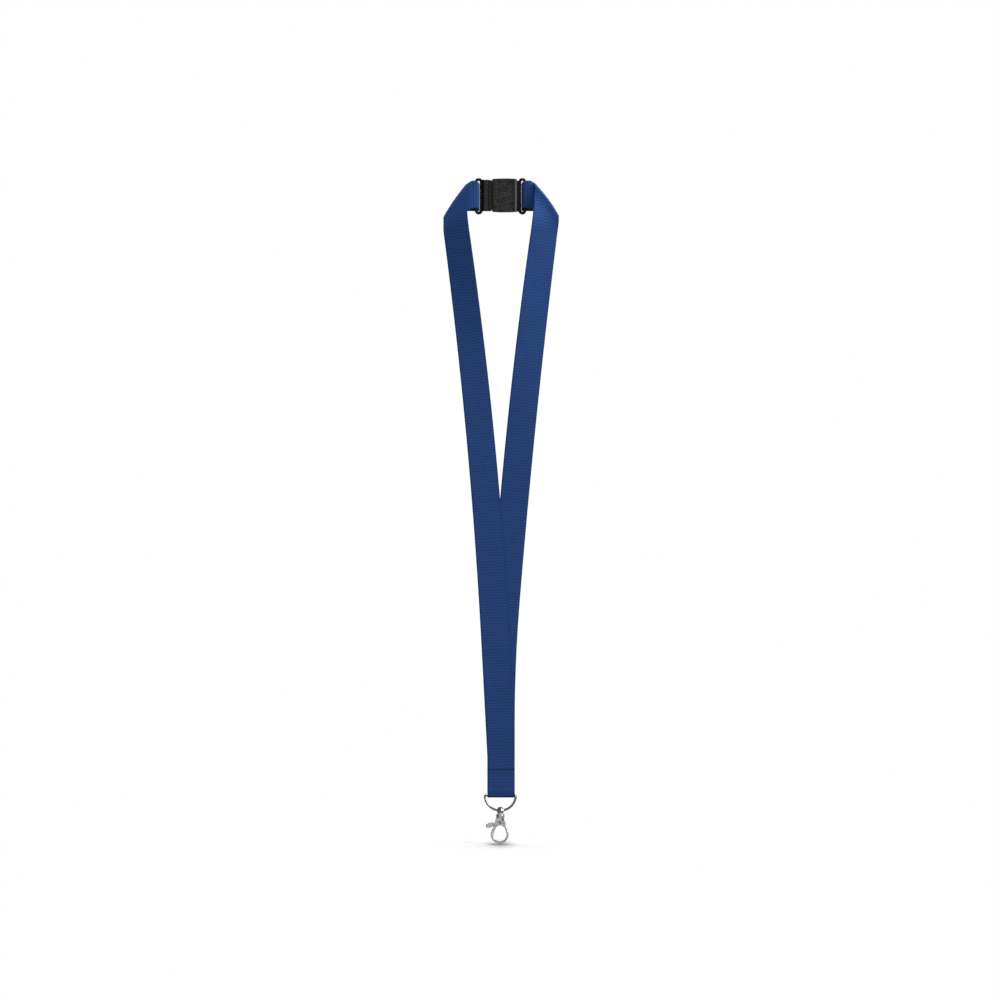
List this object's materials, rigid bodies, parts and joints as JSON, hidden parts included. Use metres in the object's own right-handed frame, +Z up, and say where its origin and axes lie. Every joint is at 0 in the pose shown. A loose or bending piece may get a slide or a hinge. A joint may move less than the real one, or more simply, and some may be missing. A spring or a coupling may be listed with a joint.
{
  "type": "neck lanyard",
  "caption": "Flat woven neck lanyard with a breakaway safety buckle, a D-ring and a swivel trigger hook for a badge, key or pass.",
  "frame": {"origin": "middle of the safety buckle in the neck band, half way through its thickness, where the lanyard rests on the neck", "axes": "+Z up along the hanging lanyard, +X to the right along the neck band as seen from the front, +Y away from the front face"},
  "size_m": [0.0848, 0.0076, 0.4895],
  "materials": {
    "webbing": "navy blue ribbed polyester webbing, ribs across the width",
    "thread": "navy blue polyester sewing thread",
    "buckle_plastic": "black moulded acetal, fine spark-eroded grain on the panel",
    "plated_wire": "nickel-plated steel wire",
    "plated_casting": "nickel-plated zinc casting, bright",
    "rivet_steel": "plated steel rivet",
    "spring_steel": "plain spring wire"
  },
  "bodies": {
    "right_side": {"buckle_socket": "buckle_plastic", "right_webbing": "webbing", "right_neck_stitches": "thread", "left_webbing_end": "webbing", "end_stitches": "thread"},
    "left_side": {"buckle_plug": "buckle_plastic", "left_webbing": "webbing", "left_neck_stitches": "thread"},
    "ring": {"d_ring": "plated_wire"},
    "eye": {"swivel_eye": "plated_casting"},
    "hook": {"hook_body": "plated_casting", "gate_pivot_pin": "rivet_steel", "gate_spring": "spring_steel"},
    "gate": {"gate_lever": "plated_casting"}
  },
  "joints": [
    {"name": "buckle_release", "type": "slide", "parent": "right_side", "child": "left_side", "axis": [-1, 0, 0], "range_m": [0, 0.018]},
    {"name": "d_ring_swing", "type": "hinge", "parent": "right_side", "child": "ring", "pos_m": [-0.00015, -0.00135, -0.4404], "axis": [1, 0, 0], "range_deg": [-75, 75]},
    {"name": "eye_swing", "type": "hinge", "parent": "ring", "child": "eye", "pos_m": [-0.00015, -0.00135, -0.4518], "axis": [1, 0, 0], "range_deg": [-75, 75]},
    {"name": "hook_swivel", "type": "hinge", "parent": "eye", "child": "hook", "pos_m": [-0.00015, -0.00135, -0.4556], "axis": [0, 0, 1], "continuous": true},
    {"name": "gate_open", "type": "hinge", "parent": "hook", "child": "gate", "pos_m": [-0.0005, -0.00135, -0.4603], "axis": [0, -1, 0], "range_deg": [0, 18], "stiffness_Nm_per_rad": 0.008, "springref_deg": -20.05, "deforming": ["gate_spring"]}
  ]
}
